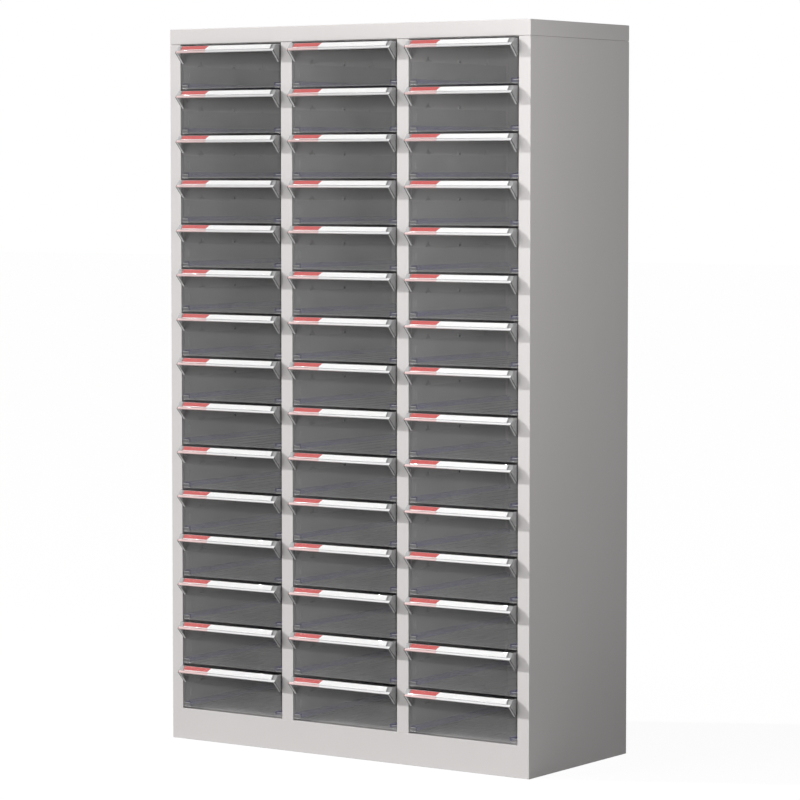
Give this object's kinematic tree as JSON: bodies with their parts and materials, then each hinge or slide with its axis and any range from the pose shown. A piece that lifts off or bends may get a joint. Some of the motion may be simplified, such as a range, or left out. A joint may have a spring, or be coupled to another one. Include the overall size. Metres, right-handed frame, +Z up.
{
  "type": "filing cabinet",
  "caption": "Tall free-standing steel cabinet with columns of clear sliding paper drawers, each with a label strip in its handle.",
  "frame": {"origin": "bottom centre of the whole object's box, drawer handles included, at the floor", "axes": "+Z up, -Y the front that the drawers open towards, +X to the right seen from the front"},
  "size_m": [0.8, 0.3516, 1.335],
  "materials": {
    "cabinet_steel": "pale warm grey powder coat, satin",
    "runner_steel": "grey powder coat, satin",
    "screw_zinc": "zinc plated",
    "clear_plastic": "clear moulded polystyrene, polished",
    "label_card": "white card with a red block"
  },
  "bodies": {
    "cabinet": {"top_cap": "cabinet_steel", "top_deck": "cabinet_steel", "left_side_panel": "cabinet_steel", "right_side_panel": "cabinet_steel", "left_liner": "cabinet_steel", "right_liner": "cabinet_steel", "left_divider": "cabinet_steel", "right_divider": "cabinet_steel", "back_panel": "cabinet_steel", "base_pan": "cabinet_steel", "back_panel_screws": "screw_zinc", "left_bay_runners": "runner_steel", "middle_bay_runners": "runner_steel", "right_bay_runners": "runner_steel", "runner_screws": "screw_zinc"},
    "drawer_left_01": {"drawer_left_01": "clear_plastic"},
    "drawer_left_02": {"drawer_left_02": "clear_plastic"},
    "drawer_left_03": {"drawer_left_03": "clear_plastic"},
    "drawer_left_04": {"drawer_left_04": "clear_plastic"},
    "drawer_left_05": {"drawer_left_05": "clear_plastic"},
    "drawer_left_06": {"drawer_left_06": "clear_plastic"},
    "drawer_left_07": {"drawer_left_07": "clear_plastic"},
    "drawer_left_08": {"drawer_left_08": "clear_plastic"},
    "drawer_left_09": {"drawer_left_09": "clear_plastic"},
    "drawer_left_10": {"drawer_left_10": "clear_plastic"},
    "drawer_left_11": {"drawer_left_11": "clear_plastic"},
    "drawer_left_12": {"drawer_left_12": "clear_plastic"},
    "drawer_left_13": {"drawer_left_13": "clear_plastic"},
    "drawer_left_14": {"drawer_left_14": "clear_plastic"},
    "drawer_left_15": {"drawer_left_15": "clear_plastic"},
    "drawer_middle_01": {"drawer_middle_01": "clear_plastic"},
    "drawer_middle_02": {"drawer_middle_02": "clear_plastic"},
    "drawer_middle_03": {"drawer_middle_03": "clear_plastic"},
    "drawer_middle_04": {"drawer_middle_04": "clear_plastic"},
    "drawer_middle_05": {"drawer_middle_05": "clear_plastic"},
    "drawer_middle_06": {"drawer_middle_06": "clear_plastic"},
    "drawer_middle_07": {"drawer_middle_07": "clear_plastic"},
    "drawer_middle_08": {"drawer_middle_08": "clear_plastic"},
    "drawer_middle_09": {"drawer_middle_09": "clear_plastic"},
    "drawer_middle_10": {"drawer_middle_10": "clear_plastic"},
    "drawer_middle_11": {"drawer_middle_11": "clear_plastic"},
    "drawer_middle_12": {"drawer_middle_12": "clear_plastic"},
    "drawer_middle_13": {"drawer_middle_13": "clear_plastic"},
    "drawer_middle_14": {"drawer_middle_14": "clear_plastic"},
    "drawer_middle_15": {"drawer_middle_15": "clear_plastic"},
    "drawer_right_01": {"drawer_right_01": "clear_plastic"},
    "drawer_right_02": {"drawer_right_02": "clear_plastic"},
    "drawer_right_03": {"drawer_right_03": "clear_plastic"},
    "drawer_right_04": {"drawer_right_04": "clear_plastic"},
    "drawer_right_05": {"drawer_right_05": "clear_plastic"},
    "drawer_right_06": {"drawer_right_06": "clear_plastic"},
    "drawer_right_07": {"drawer_right_07": "clear_plastic"},
    "drawer_right_08": {"drawer_right_08": "clear_plastic"},
    "drawer_right_09": {"drawer_right_09": "clear_plastic"},
    "drawer_right_10": {"drawer_right_10": "clear_plastic"},
    "drawer_right_11": {"drawer_right_11": "clear_plastic"},
    "drawer_right_12": {"drawer_right_12": "clear_plastic"},
    "drawer_right_13": {"drawer_right_13": "clear_plastic"},
    "drawer_right_14": {"drawer_right_14": "clear_plastic"},
    "drawer_right_15": {"drawer_right_15": "clear_plastic"}
  },
  "joints": [
    {"name": "slide_left_01", "type": "slide", "parent": "cabinet", "child": "drawer_left_01", "axis": [0, -1, 0], "range_m": [0, 0.27]},
    {"name": "slide_left_02", "type": "slide", "parent": "cabinet", "child": "drawer_left_02", "axis": [0, -1, 0], "range_m": [0, 0.27]},
    {"name": "slide_left_03", "type": "slide", "parent": "cabinet", "child": "drawer_left_03", "axis": [0, -1, 0], "range_m": [0, 0.27]},
    {"name": "slide_left_04", "type": "slide", "parent": "cabinet", "child": "drawer_left_04", "axis": [0, -1, 0], "range_m": [0, 0.27]},
    {"name": "slide_left_05", "type": "slide", "parent": "cabinet", "child": "drawer_left_05", "axis": [0, -1, 0], "range_m": [0, 0.27]},
    {"name": "slide_left_06", "type": "slide", "parent": "cabinet", "child": "drawer_left_06", "axis": [0, -1, 0], "range_m": [0, 0.27]},
    {"name": "slide_left_07", "type": "slide", "parent": "cabinet", "child": "drawer_left_07", "axis": [0, -1, 0], "range_m": [0, 0.27]},
    {"name": "slide_left_08", "type": "slide", "parent": "cabinet", "child": "drawer_left_08", "axis": [0, -1, 0], "range_m": [0, 0.27]},
    {"name": "slide_left_09", "type": "slide", "parent": "cabinet", "child": "drawer_left_09", "axis": [0, -1, 0], "range_m": [0, 0.27]},
    {"name": "slide_left_10", "type": "slide", "parent": "cabinet", "child": "drawer_left_10", "axis": [0, -1, 0], "range_m": [0, 0.27]},
    {"name": "slide_left_11", "type": "slide", "parent": "cabinet", "child": "drawer_left_11", "axis": [0, -1, 0], "range_m": [0, 0.27]},
    {"name": "slide_left_12", "type": "slide", "parent": "cabinet", "child": "drawer_left_12", "axis": [0, -1, 0], "range_m": [0, 0.27]},
    {"name": "slide_left_13", "type": "slide", "parent": "cabinet", "child": "drawer_left_13", "axis": [0, -1, 0], "range_m": [0, 0.27]},
    {"name": "slide_left_14", "type": "slide", "parent": "cabinet", "child": "drawer_left_14", "axis": [0, -1, 0], "range_m": [0, 0.27]},
    {"name": "slide_left_15", "type": "slide", "parent": "cabinet", "child": "drawer_left_15", "axis": [0, -1, 0], "range_m": [0, 0.27]},
    {"name": "slide_middle_01", "type": "slide", "parent": "cabinet", "child": "drawer_middle_01", "axis": [0, -1, 0], "range_m": [0, 0.27]},
    {"name": "slide_middle_02", "type": "slide", "parent": "cabinet", "child": "drawer_middle_02", "axis": [0, -1, 0], "range_m": [0, 0.27]},
    {"name": "slide_middle_03", "type": "slide", "parent": "cabinet", "child": "drawer_middle_03", "axis": [0, -1, 0], "range_m": [0, 0.27]},
    {"name": "slide_middle_04", "type": "slide", "parent": "cabinet", "child": "drawer_middle_04", "axis": [0, -1, 0], "range_m": [0, 0.27]},
    {"name": "slide_middle_05", "type": "slide", "parent": "cabinet", "child": "drawer_middle_05", "axis": [0, -1, 0], "range_m": [0, 0.27]},
    {"name": "slide_middle_06", "type": "slide", "parent": "cabinet", "child": "drawer_middle_06", "axis": [0, -1, 0], "range_m": [0, 0.27]},
    {"name": "slide_middle_07", "type": "slide", "parent": "cabinet", "child": "drawer_middle_07", "axis": [0, -1, 0], "range_m": [0, 0.27]},
    {"name": "slide_middle_08", "type": "slide", "parent": "cabinet", "child": "drawer_middle_08", "axis": [0, -1, 0], "range_m": [0, 0.27]},
    {"name": "slide_middle_09", "type": "slide", "parent": "cabinet", "child": "drawer_middle_09", "axis": [0, -1, 0], "range_m": [0, 0.27]},
    {"name": "slide_middle_10", "type": "slide", "parent": "cabinet", "child": "drawer_middle_10", "axis": [0, -1, 0], "range_m": [0, 0.27]},
    {"name": "slide_middle_11", "type": "slide", "parent": "cabinet", "child": "drawer_middle_11", "axis": [0, -1, 0], "range_m": [0, 0.27]},
    {"name": "slide_middle_12", "type": "slide", "parent": "cabinet", "child": "drawer_middle_12", "axis": [0, -1, 0], "range_m": [0, 0.27]},
    {"name": "slide_middle_13", "type": "slide", "parent": "cabinet", "child": "drawer_middle_13", "axis": [0, -1, 0], "range_m": [0, 0.27]},
    {"name": "slide_middle_14", "type": "slide", "parent": "cabinet", "child": "drawer_middle_14", "axis": [0, -1, 0], "range_m": [0, 0.27]},
    {"name": "slide_middle_15", "type": "slide", "parent": "cabinet", "child": "drawer_middle_15", "axis": [0, -1, 0], "range_m": [0, 0.27]},
    {"name": "slide_right_01", "type": "slide", "parent": "cabinet", "child": "drawer_right_01", "axis": [0, -1, 0], "range_m": [0, 0.27]},
    {"name": "slide_right_02", "type": "slide", "parent": "cabinet", "child": "drawer_right_02", "axis": [0, -1, 0], "range_m": [0, 0.27]},
    {"name": "slide_right_03", "type": "slide", "parent": "cabinet", "child": "drawer_right_03", "axis": [0, -1, 0], "range_m": [0, 0.27]},
    {"name": "slide_right_04", "type": "slide", "parent": "cabinet", "child": "drawer_right_04", "axis": [0, -1, 0], "range_m": [0, 0.27]},
    {"name": "slide_right_05", "type": "slide", "parent": "cabinet", "child": "drawer_right_05", "axis": [0, -1, 0], "range_m": [0, 0.27]},
    {"name": "slide_right_06", "type": "slide", "parent": "cabinet", "child": "drawer_right_06", "axis": [0, -1, 0], "range_m": [0, 0.27]},
    {"name": "slide_right_07", "type": "slide", "parent": "cabinet", "child": "drawer_right_07", "axis": [0, -1, 0], "range_m": [0, 0.27]},
    {"name": "slide_right_08", "type": "slide", "parent": "cabinet", "child": "drawer_right_08", "axis": [0, -1, 0], "range_m": [0, 0.27]},
    {"name": "slide_right_09", "type": "slide", "parent": "cabinet", "child": "drawer_right_09", "axis": [0, -1, 0], "range_m": [0, 0.27]},
    {"name": "slide_right_10", "type": "slide", "parent": "cabinet", "child": "drawer_right_10", "axis": [0, -1, 0], "range_m": [0, 0.27]},
    {"name": "slide_right_11", "type": "slide", "parent": "cabinet", "child": "drawer_right_11", "axis": [0, -1, 0], "range_m": [0, 0.27]},
    {"name": "slide_right_12", "type": "slide", "parent": "cabinet", "child": "drawer_right_12", "axis": [0, -1, 0], "range_m": [0, 0.27]},
    {"name": "slide_right_13", "type": "slide", "parent": "cabinet", "child": "drawer_right_13", "axis": [0, -1, 0], "range_m": [0, 0.27]},
    {"name": "slide_right_14", "type": "slide", "parent": "cabinet", "child": "drawer_right_14", "axis": [0, -1, 0], "range_m": [0, 0.27]},
    {"name": "slide_right_15", "type": "slide", "parent": "cabinet", "child": "drawer_right_15", "axis": [0, -1, 0], "range_m": [0, 0.27]}
  ]
}
